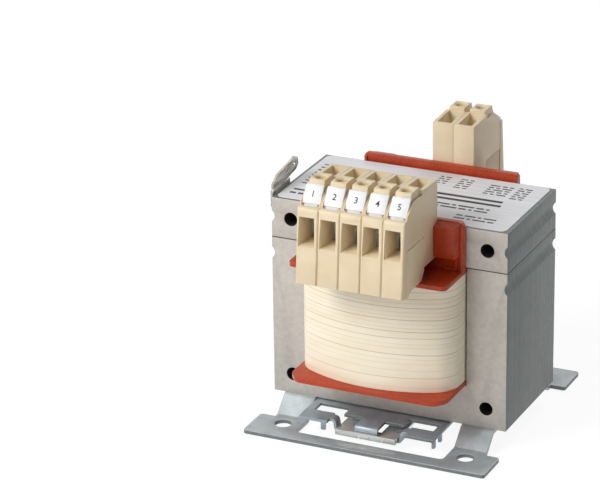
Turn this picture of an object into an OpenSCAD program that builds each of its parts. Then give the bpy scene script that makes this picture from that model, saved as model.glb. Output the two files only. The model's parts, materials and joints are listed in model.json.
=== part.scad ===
// Single-phase transformer: laminated core, moulded bobbin with a taped coil, clamp
// terminals at the front and back, screw feet, and a sprung clip for a 35 mm rail.
// Frame: X along the core, Y from the five terminals to the two, Z up. The origin is
// on the mounting surface, below the middle of the core.

/* [Core] */
// Width of the core's middle leg
tongue_w = 28; // [24:0.5:32]
// Width of the outer legs and height of the yokes
limb_w = 14; // [12:0.5:17]
// Width of the winding window on each side of the middle leg
window_w = 14; // [12:0.5:17]
// Height of the winding window
window_h = 42; // [38:0.5:50]
// Thickness of the stack of laminations
core_depth = 43.5; // [40:0.5:50]
// Diameter of the holes through the core's corners
core_hole_d = 4.7; // [3:0.1:6]
// Height of the weld grooves in the core's sides
groove_h = 4; // [2:0.5:5]
// Depth of the weld grooves
groove_depth = 1; // [0.4:0.1:1.5]
// Distance of the upper groove below the core's top
upper_groove_drop = 6.7; // [5:0.1:8]
// Distance of the lower groove below the joint between yoke and legs
lower_groove_drop = 5.6; // [4:0.1:8]

/* [Bobbin] */
// Wall of the tube around the middle leg
tube_wall = 1.2; // [0.8:0.1:2]
// Clearance between the bobbin and the core
bobbin_gap = 0.3; // [0.1:0.05:0.5]
// Thickness of the two flanges
flange_t = 1.5; // [1:0.1:2.2]
// How far the lower flange reaches beyond the core
flange_reach = 20.2; // [19.5:0.1:24]
// Chamfer at the lower flange's corners
flange_corner = 4; // [2:0.5:7]
// How far the upper flange reaches beyond the core
shelf_reach = 18; // [16:0.1:20]
// Thickness of the upright walls that carry the terminals
apron_t = 2; // [1.4:0.1:2.6]
// Clearance between the upright walls and the core
apron_gap = 0.85; // [0.3:0.05:1.2]
// Height of the upright walls above the core's top
apron_rise = 2.6; // [1.5:0.1:4]
// Radius of the front wall's upper corners
apron_corner = 2; // [1:0.5:5]
// Radius of the rear wall's upper corners
rear_apron_corner = 1; // [0.5:0.5:5]
// Width of the pads beside the terminals
pad_w = 7.2; // [4:0.1:8]
// Depth of the pads beside the terminals
pad_t = 3.6; // [1:0.1:4]

/* [Winding] */
// Clearance between the coil and the core's outer legs
coil_side_gap = 0.5; // [0.3:0.1:1.5]
// How far the coil bulges out in front of and behind the core
coil_bulge = 17.8; // [15:0.1:18.5]
// Radius of the coil's bulging faces
coil_face_r = 51; // [44:1:70]
// Radius of the coil's corners
coil_corner_r = 9; // [8:0.5:10]
// Thickness of the outer tape
tape_t = 0.8; // [0.4:0.1:1.5]
// Thickness of the outer winding
outer_winding_t = 4; // [2.5:0.1:4.5]
// Thickness of the insulation between the windings
insulation_t = 0.5; // [0.3:0.1:1]
// Diameter of the leads from the windings
lead_d = 0.9; // [0.6:0.1:1.1]

/* [Terminals] */
// Number of terminals at the front
front_count = 5; // [2:1:5]
// Number of terminals at the back
rear_count = 2; // [1:1:3]
// Distance from one terminal to the next
pitch = 7.5; // [7.2:0.1:8.5]
// Gap between neighbouring terminal housings
housing_gap = 0.15; // [0.1:0.05:0.3]
// Distance of the rear terminals' middle from the core's middle
rear_shift = 3.75; // [0:0.25:5]
// Width of the wire entries, clamp chambers and solder pockets
cell_w = 4.9; // [4.7:0.1:5.2]
// Height of the wire entries
entry_h = 9.3; // [8.8:0.1:9.6]
// Diameter of the screwdriver holes
driver_hole_d = 3.6; // [3.2:0.1:3.9]
// Width of the raised boss around each screwdriver hole
boss_w = 5.4; // [5.1:0.1:5.7]
// Width of the marker tags
marker_w = 6.2; // [5.8:0.1:6.4]
// Thickness of the marker tags
marker_t = 1; // [0.6:0.1:1.3]

/* [Clamps] */
// Diameter of the clamp screws
screw_d = 3; // [2.5:0.1:3]
// Diameter of the clamp screws' heads
screw_head_d = 4.4; // [4.1:0.1:4.5]
// Radial clearance between the screws and the cages
screw_clearance = 0.05; // [0.02:0.01:0.1]
// Wall of the clamp cages
cage_wall = 0.6; // [0.4:0.05:0.65]
// Width of the contact bars
bar_w = 2.6; // [2:0.1:2.7]
// Thickness of the contact bars
bar_t = 1; // [0.7:0.1:1.1]

/* [Feet] */
// Height of the core's underside above the mounting surface
core_lift = 7; // [6.6:0.1:8]
// Thickness of the foot bracket's sheet
foot_t = 1.5; // [1:0.1:1.6]
// How far the feet stand out beyond the core's sides
foot_overhang = 1.3; // [0:0.1:4]
// Depth of each foot
foot_depth = 14; // [12:0.5:18]
// Distance of the feet's outer edges from the core's faces
foot_reach = 22.25; // [20:0.25:26]
// Width of the straps between the feet
strap_w = 11.5; // [9:0.5:13]
// Distance of the straps' outer edges from the core's sides
strap_inset = 4; // [2:0.5:5]
// Width of the narrow strip at the outer edge of each foot
foot_strip = 5.5; // [4:0.5:7]
// Distance between the fixing holes along X
fixing_x = 66; // [62:0.5:70]
// Distance between the fixing holes along Y
fixing_y = 68.6; // [66:0.1:71]
// Diameter of the fixing holes
fixing_d = 5.8; // [4.3:0.1:6]

/* [Rail clip] */
// Width of the rail
rail_w = 35; // [34:0.5:36]
// Thickness of the rail's flanges
rail_t = 1; // [0.8:0.1:1.2]
// Thickness of the clip plate
clip_t = 1; // [0.7:0.1:1.1]
// Height of the weld projections between the clip plate and the core
clip_standoff = 0.5; // [0.3:0.1:0.7]
// Gap between the clip plate's left edge and the bracket's strap
clip_left_gap = 0.3; // [0.2:0.1:2]
// Gap between the clip plate's right edge and the bracket's strap
clip_right_gap = 4.2; // [2:0.1:5]
// How far the clip plate stands out in front of the core
clip_reach = 14.6; // [14:0.1:16]
// Width of the sliding latch
latch_w = 21.6; // [20:0.1:23]
// Thickness of the latch's spring steel
latch_t = 0.8; // [0.5:0.1:0.8]
// Travel of the latch
latch_travel = 3; // [2:0.25:3.5]
// Width of the tongue above the latch
tongue_tab_w = 8.2; // [6:0.1:9]
// Outer diameter of the latch's spring
spring_d = 3; // [2.4:0.1:3.2]
// Wire diameter of the latch's spring
spring_wire = 0.5; // [0.3:0.05:0.6]

/* [Label and earth tab] */
// Margin of bare metal around the label
label_margin = 1.3; // [0.5:0.1:4]
// Thickness of the label
label_t = 0.25; // [0.2:0.05:0.5]
// Width of the earth tab's blade
tab_w = 4.8; // [2.8:0.1:6.3]
// Thickness of the earth tab
tab_t = 0.8; // [0.5:0.1:1]
// Length of the earth tab's blade
tab_len = 18; // [12:0.5:22]

/* [Hidden] */
$fn = 48;
// Overlap of cutting shapes past the faces they cut
over = 1;
// Gap that keeps flat neighbours from biting into each other
fit = 0.1;

// Core
core_w = tongue_w + 2 * window_w + 2 * limb_w;
core_h = window_h + 2 * limb_w;
half_depth = core_depth / 2;
window_outer = tongue_w / 2 + window_w;
joint_z = core_lift + limb_w + window_h;
core_top = core_lift + core_h;

// Bobbin and coil
tube_x = tongue_w / 2 + bobbin_gap + tube_wall;
tube_y = half_depth + bobbin_gap + tube_wall;
flange_x = window_outer - 0.2;
flange_y = half_depth + flange_reach;
lower_flange_z = core_lift + limb_w + bobbin_gap;
shelf_z = joint_z - fit;
coil_z0 = lower_flange_z + flange_t + fit;
coil_z1 = shelf_z - flange_t - fit;
coil_x = window_outer - coil_side_gap;
coil_y = half_depth + coil_bulge;
apron_in = half_depth + apron_gap;
apron_out = apron_in + apron_t;
apron_top = core_top + apron_rise - shelf_z;
shelf_corner = 2;
pad_low = 5;
pad_high = 15.4;
pad_draft = 0.9;
pad_outer = flange_x - 1.8;
lug_t = 1.2;

// Terminal section: distance out from the apron, height above the bobbin's shelf
housing_w = pitch - housing_gap;
housing_out = 28.6;
housing_foot = -0.7;
hood_top = 24.9;
hood_out = 26.5;
hood_r = 1.5;
chamber_in = 12.9;
chamber_out = 18.9;
screw_out = (chamber_in + chamber_out) / 2;
chamber_floor = 9.7;
chamber_top = 24.5;
entry_floor = 12.1;
entry_shift = 0.25;
pocket_in = 1.3;
pocket_out = 11.7;
bar_z = 15.1;
bar_out = 18.6;
tail_out = 6.5;
tail_top = 24;
lead_out = tail_out - bar_t / 2 - lead_d / 2;
lead_top = 23;
boss_top = 32;
channel_wall = 0.55;
rim_z = 29.2;
rim_step = 30.9;
rear_rim_z = 30.3;
// Foot of the marker's outer face, and the slope's length and angle
marker_out = 23.9;
marker_z = 25.5;
marker_len = 6.7;
marker_slope = 55.4;
// Panel that locks neighbouring housings together
panel_t = 0.25;
recess_t = 0.3;
panel_z = 14.4;
panel_in = 11.3;
panel_out = 24.1;
panel_foot = 3.4;
groove_w = 0.35;
groove_cut = 0.4;
// Flared mouth of the wire entry: where it starts below, above and at the sides
flare = 0.4;
flare_run = 1;
mouth_low = housing_out - 1.9;
mouth_top = hood_out - 0.6;
mouth_side = housing_out - 2.4;
mouth_end = housing_out + over;

// Clamp heights above the shelf
screw_tip = bar_z + bar_t + 0.05;
head_z = 22.2;
head_h = 2.1;
cage_w = cell_w - 0.5;
cage_d = chamber_out - chamber_in - 0.6;
cage_z = chamber_floor + 0.2;
cage_h = 8;
cage_plate = 1.4;
driver_slot = 0.8;

// Feet
foot_x = core_w / 2 + foot_overhang;
foot_y = half_depth + foot_reach;
strap_out = core_w / 2 - strap_inset;
strap_in = strap_out - strap_w;
leg_top = half_depth + 0.45;
leg_run = 6;
corner_r = 1;

// Rail clip
clip_x0 = -strap_in + clip_left_gap;
clip_x1 = strap_in - clip_right_gap;
clip_mid = (clip_x0 + clip_x1) / 2;
clip_half = (clip_x1 - clip_x0) / 2;
clip_top = core_lift - clip_standoff;
clip_under = clip_top - clip_t;
clip_front = -(half_depth + clip_reach);
rail_edge = rail_w / 2;
bend_r = 0.9;
hook_w = 10;
hook_mid = 15;
hook_grip = 2.4;
latch_side_gap = 0.3;
latch_top = clip_under - rail_t - 0.5;
latch_z = latch_top - latch_t / 2;
latch_nose = -(rail_edge - 2);
latch_front = clip_front - 0.6;
lip_set = 0.4;
lip_low = latch_top + 0.2;
hem_depth = 1.2;
hem_width = 1.5;
bridge_half = latch_w / 2 + latch_side_gap;
bridge_top = latch_top - latch_t - 0.2;
bridge_front = clip_front + 2;
bridge_len = 3.6;
ear_run = 2.2;
notch_back = clip_front + 7;
window_y0 = clip_front + 6.6;
window_len = 5.4;
window_inner = 10.8;
clip_rim = 2.7;
spring_seat_y = bridge_front + bridge_len + 0.7;
spring_slot_y = spring_seat_y + 8.9;
spring_coils = 6;
spring_sides = 8;
spring_steps = 12;

// Earth tab: its base on the core's side, and the blade's root above the base
base_out = 1.2;
base_len = 13.6;
base_rise = 1.6;
base_drop = 4;
blade_y = 3.4;
blade_z = 3.2;
blade_tilt = 8;
blade_tip = 2;
tip_hole = 2.7;

// Number of points on a quarter turn of a drawn outline
quarter = 6;

function unit(v) = v / norm(v);
function left_of(v) = [-v[1], v[0]];
function wrapped(a) = a > 180 ? a - 360 : a < -180 ? a + 360 : a;

// Points of an arc from one angle to another
function arc(c, r, a0, a1, n = quarter) =
    [for (k = [0:n]) c + r * [cos(a0 + (a1 - a0) * k / n), sin(a0 + (a1 - a0) * k / n)]];

// Arc that rounds the corner b of the path a, b, c
function corner(a, b, c, r, n) =
    let (da = unit(a - b), dc = unit(c - b), half = acos(da * dc) / 2)
    let (m = b + unit(da + dc) * r / sin(half), p = b + da * r / tan(half) - m)
    let (q = b + dc * r / tan(half) - m, a0 = atan2(p[1], p[0]))
    arc(m, r, a0, a0 + wrapped(atan2(q[1], q[0]) - a0), n);

function rounded_path(p, r, n = 4) = [
    for (i = [0:len(p) - 1])
        each (i == 0 || i == len(p) - 1 ? [p[i]] : corner(p[i - 1], p[i], p[i + 1], r, n))];

// Direction in which the path p arrives at its point i
function heading(p, i) = unit(p[i] - p[i - 1]);

// The path p moved sideways by d, with its corners kept sharp
function moved(p, d) = [
    for (i = [0:len(p) - 1])
        let (a = left_of(heading(p, max(i, 1))), b = left_of(heading(p, min(i + 1, len(p) - 1))))
        p[i] + (a + b) * d / (1 + a * b)];

// One face of a bent sheet, d beside its centre line, with bends of radius r there
function face(p, d, r) =
    let (q = moved(p, d), last = len(p) - 1)
    [for (i = [0:last])
        each (i == 0 || i == last ? [q[i]] : corner(q[i - 1], q[i], q[i + 1],
            r - d * sign(cross(heading(p, i), heading(p, i + 1))), 4))];

// Section of a bent sheet around its centre line
function sheet(p, t, r) =
    let (below = face(p, -t / 2, r))
    concat(face(p, t / 2, r), [for (i = [len(below) - 1:-1:0]) below[i]]);

// Outline of the coil, drawn in by d from its outer face
function coil_outline(d) =
    let (r = coil_corner_r - d, face = coil_face_r - d, x = coil_x - d - r)
    let (cy = coil_y - coil_face_r, y = cy + sqrt(pow(face - r, 2) - x * x))
    let (a = atan2(y - cy, x))
    let (q = concat(arc([x, y], r, 0, a), arc([0, cy], face, a, 90)))
    let (h = concat(q, [for (i = [len(q) - 2:-1:0]) [-q[i][0], q[i][1]]]))
    concat(h, [for (i = [len(h) - 1:-1:0]) [h[i][0], -h[i][1]]]);

// Solid of a section drawn in Y and Z, centred on X
module along_x(w, points) {
    rotate([90, 0, 90])
        linear_extrude(w, center = true)
            polygon(points);
}

module rounded_box(x, y, r) {
    hull()
        for (sx = [-1, 1], sy = [-1, 1])
            translate([sx * (x - r), sy * (y - r)])
                circle(r, $fn = 24);
}

// Rounded rectangle whose arcs stay true curves
module rounded_plate(x, y, r, h) {
    linear_extrude(h) {
        square([2 * x, 2 * (y - r)], center = true);
        square([2 * (x - r), 2 * y], center = true);
        for (sx = [-1, 1], sy = [-1, 1])
            translate([sx * (x - r), sy * (y - r)])
                circle(r);
    }
}

module mirrored_x() {
    children();
    mirror([1, 0, 0])
        children();
}

module mirrored_y() {
    children();
    mirror([0, 1, 0])
        children();
}

module core_holes(z) {
    for (sx = [-1, 1])
        translate([sx * (core_w - limb_w) / 2, 0, z])
            rotate([90, 0, 0])
                cylinder(d = core_hole_d, h = core_depth + 2 * over, center = true);
}

// Rounded groove along both sides of the core
module side_grooves(z) {
    r = (groove_h * groove_h / 4 + groove_depth * groove_depth) / (2 * groove_depth);
    for (sx = [-1, 1])
        translate([sx * (core_w / 2 + r - groove_depth), 0, z])
            rotate([90, 0, 0])
                cylinder(r = r, h = core_depth + 2 * over, center = true);
}

module core_e_stack() {
    color("#9d9a93")
        difference() {
            translate([-core_w / 2, -half_depth, core_lift])
                cube([core_w, core_depth, limb_w + window_h]);
            for (sx = [-1, 1])
                translate([sx * (tongue_w + window_w) / 2 - window_w / 2, -half_depth - over,
                           core_lift + limb_w])
                    cube([window_w, core_depth + 2 * over, window_h + over]);
            core_holes(core_lift + limb_w / 2);
            side_grooves(joint_z - lower_groove_drop);
        }
}

module core_i_stack() {
    color("#a5a29b")
        difference() {
            translate([-core_w / 2, -half_depth, joint_z])
                cube([core_w, core_depth, limb_w]);
            core_holes(core_top - limb_w / 2);
            side_grooves(core_top - upper_groove_drop);
        }
}

module flange(z) {
    c = flange_corner;
    x = flange_x;
    y = flange_y;
    outline = [[x, 0], [x, y - c], [x - c * 0.8, y], [c * 0.8 - x, y], [-x, y - c],
               [-x, c - y], [c * 0.8 - x, -y], [x - c * 0.8, -y], [x, c - y], [x, 0]];
    translate([0, 0, z])
        linear_extrude(flange_t)
            polygon(rounded_path(outline, 4));
}

// Upright wall in front of the core, with the end ribs and the pads beside the terminals
module apron(r) {
    translate([0, -apron_in, shelf_z])
        rotate([90, 0, 0])
            linear_extrude(apron_t)
                apron_outline(apron_top, r);
    mirrored_x() {
        translate([flange_x - 1, -apron_in, shelf_z])
            cube([1, apron_gap - bobbin_gap, apron_top - r]);
        translate([flange_x - 0.9, -apron_out - 0.6, shelf_z])
            cube([0.9, 0.6, apron_top - r]);
        translate([0, -apron_out, shelf_z])
            pad();
        translate([pad_outer, -apron_out - lug_t, shelf_z])
            lug();
    }
}

module apron_outline(h, r) {
    translate([-flange_x, 0])
        square([2 * flange_x, h - r]);
    translate([r - flange_x, 0])
        square([2 * (flange_x - r), h]);
    for (sx = [-1, 1])
        translate([sx * (flange_x - r), h - r])
            circle(r);
}

// Pad beside the terminals, drafted on its top and its outer side
module pad() {
    inner = max(pad_outer - pad_w, (front_count - 1) / 2 * pitch + housing_w / 2 + 0.125);
    root = 0.3;
    intersection() {
        along_x(2 * core_w, [[root, pad_low], [-pad_t, pad_low], [-pad_t, pad_high],
                             [0, pad_high + pad_draft], [root, pad_high + pad_draft]]);
        linear_extrude(apron_top)
            polygon([[inner, root], [inner, -pad_t], [pad_outer, -pad_t],
                     [pad_outer + pad_draft, 0], [pad_outer + pad_draft, root]]);
    }
}

// Angled lug between each pad and the shelf
module lug() {
    rib = 0.8;
    arm = 4.05;
    translate([-rib, 0, 0.4])
        cube([rib, lug_t + fit, pad_low - 0.3]);
    translate([-arm, 0, 0.2])
        cube([arm, lug_t + fit, rib]);
    translate([-arm, 0, 0])
        cube([rib, lug_t + fit, rib]);
}

// Slots in the shelf for the leads of a row of terminals
module lead_slots(row) {
    for (x = row)
        translate([x, -(apron_out + lead_out), shelf_z - flange_t - over])
            cylinder(d = lead_d + 0.7, h = flange_t + 2 * over);
}

module bobbin() {
    color("#a8432b")
        difference() {
            union() {
                translate([0, 0, lower_flange_z])
                    rounded_plate(tube_x, tube_y, 2, shelf_z - lower_flange_z);
                flange(lower_flange_z);
                translate([0, 0, shelf_z - flange_t])
                    rounded_plate(flange_x, half_depth + shelf_reach, shelf_corner, flange_t);
                apron(apron_corner);
                mirror([0, 1, 0])
                    apron(rear_apron_corner);
            }
            translate([0, 0, core_lift])
                linear_extrude(window_h + 2 * limb_w)
                    square([tongue_w + 2 * bobbin_gap, core_depth + 2 * bobbin_gap], center = true);
            lead_slots(front_row);
            rotate([0, 0, 180])
                lead_slots(-rear_row);
        }
}

// One layer of the coil, between two depths below its outer face
module coil_layer(d0, d1) {
    translate([0, 0, coil_z0])
        linear_extrude(coil_z1 - coil_z0)
            difference() {
                polygon(coil_outline(d0));
                polygon(coil_outline(d1));
            }
}

module outer_tape() {
    color("#e6d8b4")
        coil_layer(0, tape_t);
}

module secondary_winding() {
    color("#b87333")
        coil_layer(tape_t, tape_t + outer_winding_t);
}

module winding_insulation() {
    color("#e8dcae")
        coil_layer(tape_t + outer_winding_t, tape_t + outer_winding_t + insulation_t);
}

module primary_winding() {
    color("#a8642c")
        difference() {
            translate([0, 0, coil_z0])
                linear_extrude(coil_z1 - coil_z0)
                    polygon(coil_outline(tape_t + outer_winding_t + insulation_t));
            translate([0, 0, coil_z0 - over])
                rounded_plate(tube_x + 0.05, tube_y + 0.05, 2, coil_z1 - coil_z0 + 2 * over);
        }
}

// Places of the terminals along X
front_row = [for (i = [1:front_count]) (i - (front_count + 1) / 2) * pitch];
rear_row = [for (i = [1:rear_count]) rear_shift + (i - (rear_count + 1) / 2) * pitch];

// Terminal frame: Y runs out from the apron, Z up from the shelf
module at_front(i) {
    translate([front_row[i - 1], -apron_out, shelf_z])
        rotate([0, 0, 180])
            children();
}

module at_rear(i) {
    translate([rear_row[i - 1], apron_out, shelf_z])
        children();
}

module winding_leads() {
    color("#b5651d") {
        for (i = [1:front_count])
            at_front(i)
                lead();
        for (i = [1:rear_count])
            at_rear(i)
                lead();
    }
}

module lead() {
    translate([0, lead_out, coil_z1 - shelf_z])
        cylinder(d = lead_d, h = lead_top - coil_z1 + shelf_z);
}

// Outer section of a terminal housing
function housing_section() = concat(
    [[0, 4], [10.6, 4], [13.1, 0], [21.6, 0], [24.1, -1.4], [housing_out, housing_foot]],
    arc([hood_out - hood_r, hood_top - hood_r], hood_r, 4, 90, 4),
    [[24.4, hood_top], [24.2, 26], [18.7, 29.4], [12.1, rim_z], [12.1, rim_step],
     [0, rear_rim_z]]);

// A point on the marker's slope: s up the slope, d below its outer face
function on_slope(s, d) = [marker_out - s * cos(marker_slope) - d * sin(marker_slope),
                           marker_z + s * sin(marker_slope) - d * cos(marker_slope)];

// Edge bevels up both sides of the leaning front face
module front_bevels() {
    size = 0.5;
    lean = atan((housing_out - hood_out) / (hood_top - hood_r - housing_foot));
    for (sx = [-1, 1])
        translate([sx * housing_w / 2, housing_out, housing_foot])
            rotate([lean, 0, 0])
                rotate([0, 0, 45])
                    cube([size, size, 2 * hood_top + 4 * over], center = true);
}

module wire_entry() {
    top = entry_floor + entry_h;
    deep = chamber_out - over;
    x = cell_w / 2;
    side = mouth_side + flare_run;
    translate([entry_shift, 0, 0])
        intersection() {
            along_x(2 * cell_w, [[deep, entry_floor], [mouth_low, entry_floor],
                                 [mouth_low + flare_run, entry_floor - flare],
                                 [mouth_end, entry_floor - flare], [mouth_end, top + flare],
                                 [mouth_top + flare_run, top + flare], [mouth_top, top], [deep, top]]);
            linear_extrude(top + over)
                polygon([[-x, deep], [x, deep], [x, mouth_side], [x + flare, side],
                         [x + flare, mouth_end], [-x - flare, mouth_end], [-x - flare, side],
                         [-x, mouth_side]]);
        }
}

module housing_hollows() {
    // Clamp chamber, wire entry and screwdriver hole
    translate([-cell_w / 2, chamber_in, chamber_floor])
        cube([cell_w, chamber_out - chamber_in, chamber_top - chamber_floor]);
    wire_entry();
    translate([0, screw_out, chamber_top - over])
        cylinder(d = driver_hole_d, h = boss_top - chamber_top + 2 * over);
    translate([0, screw_out, boss_top - 0.5])
        cylinder(d1 = driver_hole_d, d2 = driver_hole_d + 1.2, h = 0.6);
    // Solder pocket, with the slot that the contact bar passes through
    translate([-cell_w / 2, pocket_in, bar_z])
        cube([cell_w, pocket_out - pocket_in, boss_top]);
    translate([-bar_w / 2 - 0.05, pocket_out - over, bar_z])
        cube([bar_w + 0.1, chamber_in - pocket_out + 2 * over, bar_t + 0.05]);
    translate([0, lead_out, 0])
        cylinder(d = lead_d + 0.7, h = bar_z + over);
    // Hollows below, open to the shelf
    translate([-cell_w / 2, pocket_in, 0])
        cube([cell_w, 10 - pocket_in, bar_z - 1.5]);
    translate([-cell_w / 2, 15, -3])
        cube([cell_w, 10.6, chamber_floor + 1.5]);
    // Slot that the marker's tongue stands in
    translate([-marker_w / 2 + 0.6, marker_out - 0.9, hood_top - 2])
        cube([marker_w - 1.2, 1.8, 3]);
}

module housing_body() {
    difference() {
        union() {
            difference() {
                along_x(housing_w, housing_section());
                translate([-housing_w / 2 + channel_wall, 12.1, hood_top])
                    cube([housing_w - 2 * channel_wall, 20, 20]);
            }
            along_x(boss_w, [[12.1, 20], on_slope(0, marker_t) - [0, 3], on_slope(0, marker_t),
                             on_slope(marker_len, marker_t), [18.9, boss_top - 0.3],
                             [18.5, boss_top], [12.6, boss_top], [12.1, boss_top - 0.4]]);
        }
        front_bevels();
        housing_hollows();
    }
}

// Outline of the panel on a housing's side, grown by m
function side_panel(m) = [[panel_in - m, panel_z + m], [panel_in - m, panel_foot - m], [13.3, 0.3 - m],
                          [21.6, 0.3 - m], [panel_out + m, -1.1 - m], [panel_out + m, panel_z + m]];

// Outline of the groove above and behind the panel
panel_groove = [[panel_in - groove_w, panel_foot], [panel_in, panel_foot], [panel_in, panel_z],
                [panel_out, panel_z], [panel_out, panel_z + groove_w],
                [panel_in - groove_w, panel_z + groove_w]];

// The housings lock together: a panel on one side, a recess on the other, grooves around both
module terminal_housing() {
    color("#e2cfae")
        difference() {
            union() {
                housing_body();
                translate([-housing_w / 2, 0, 0])
                    along_x(2 * panel_t, side_panel(0));
            }
            translate([housing_w / 2, 0, 0])
                along_x(2 * recess_t, side_panel(0.2));
            translate([-housing_w / 2, 0, 0])
                along_x(2 * groove_cut, panel_groove);
            translate([housing_w / 2, 0, 0])
                along_x(2 * (groove_cut + panel_t), panel_groove);
            translate([housing_w / 2 - groove_cut, panel_out - groove_w, panel_z])
                cube([1, 1.5 * groove_w, hood_top - panel_z - groove_w]);
        }
}

module marker_tag() {
    color("#f4f4f2")
        union() {
            along_x(marker_w, [on_slope(0, marker_t - 0.05), on_slope(0, 0), on_slope(marker_len - 0.3, 0),
                               on_slope(marker_len, 0.3), on_slope(marker_len, marker_t - 0.05)]);
            along_x(marker_w - 1.6, [on_slope(0, marker_t - 0.05), on_slope(-1.2, marker_t - 0.15),
                                     on_slope(-1.2, 0.35), on_slope(0, 0.15), on_slope(1, 0.15),
                                     on_slope(1, marker_t - 0.05)]);
        }
}

module contact_bar() {
    color("#c9a24a")
        along_x(bar_w, sheet([[bar_out, bar_z + bar_t / 2], [tail_out, bar_z + bar_t / 2],
                              [tail_out, tail_top]], bar_t, bar_t / 2 + 0.05));
}

module clamp_screw() {
    color("#b9bdc0")
        difference() {
            union() {
                translate([0, screw_out, screw_tip])
                    cylinder(d = screw_d, h = head_z - screw_tip + fit);
                translate([0, screw_out, head_z])
                    cylinder(d = screw_head_d, h = head_h);
            }
            translate([-screw_head_d, screw_out - driver_slot / 2, head_z + head_h - 1.1])
                cube([2 * screw_head_d, driver_slot, 2]);
        }
}

module clamp_cage() {
    color("#aeb4b8")
        difference() {
            translate([-cage_w / 2, screw_out - cage_d / 2, cage_z])
                cube([cage_w, cage_d, cage_h]);
            translate([cage_wall - cage_w / 2, screw_out - cage_d, cage_z + 0.9])
                cube([cage_w - 2 * cage_wall, 2 * cage_d, cage_h - cage_plate - 0.9]);
            translate([0, screw_out, cage_z])
                translate([0, 0, cage_h - cage_plate - over])
                    cylinder(d = screw_d + 2 * screw_clearance, h = cage_plate + 2 * over);
        }
}

module rating_label() {
    color("#ececec")
        translate([0, 0, core_top])
            rounded_plate(core_w / 2 - label_margin, half_depth - label_margin * 0.7, 2, label_t);
}

// Blade tab with a short base that lies on the core's left side
module earth_tab() {
    base_low = core_top - base_drop;
    color("#b4b6b4")
        translate([-core_w / 2 - tab_t, -half_depth, 0])
            rotate([90, 0, 90])
                linear_extrude(tab_t)
                    difference() {
                        union() {
                            translate([base_out, base_low])
                                square([base_len, base_drop + base_rise]);
                            translate([blade_y, core_top + blade_z])
                                rotate(blade_tilt)
                                    polygon([[-1.6, -1.7], [0, -tab_w / 2], [tab_len - blade_tip, -tab_w / 2],
                                             [tab_len, -tab_w / 4], [tab_len, tab_w / 4],
                                             [tab_len - blade_tip, tab_w / 2], [2.5, tab_w / 2],
                                             [-1.6, 0.4]]);
                        }
                        translate([blade_y, core_top + blade_z])
                            rotate(blade_tilt)
                                translate([tab_len - tip_hole, 0])
                                    circle(d = 1.4);
                    }
}

module foot_bracket() {
    high = core_lift - foot_t / 2;
    low = foot_t / 2;
    strap = sheet([[foot_y - 3, low], [leg_top + leg_run, low], [leg_top, high],
                   [-leg_top, high], [-leg_top - leg_run, low], [3 - foot_y, low]], foot_t, 1.6);
    color("#a9b0b2")
        difference() {
            union() {
                for (sx = [-1, 1])
                    translate([sx * (strap_in + strap_out) / 2, 0, 0])
                        along_x(strap_w, strap);
                for (sy = [-1, 1])
                    translate([0, sy * (foot_y - foot_depth / 2), 0])
                        rounded_plate(foot_x, foot_depth / 2, corner_r, foot_t);
            }
            // Opening between the straps, up to the narrow strips at the feet's outer edges
            translate([0, 0, -over])
                rounded_plate(strap_in, foot_y - foot_strip, 1.5, foot_t + 2 * over);
            for (sx = [-1, 1], sy = [-1, 1])
                translate([sx * fixing_x / 2, sy * fixing_y / 2, -over])
                    cylinder(d = fixing_d, h = foot_t + 2 * over);
        }
}

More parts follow.
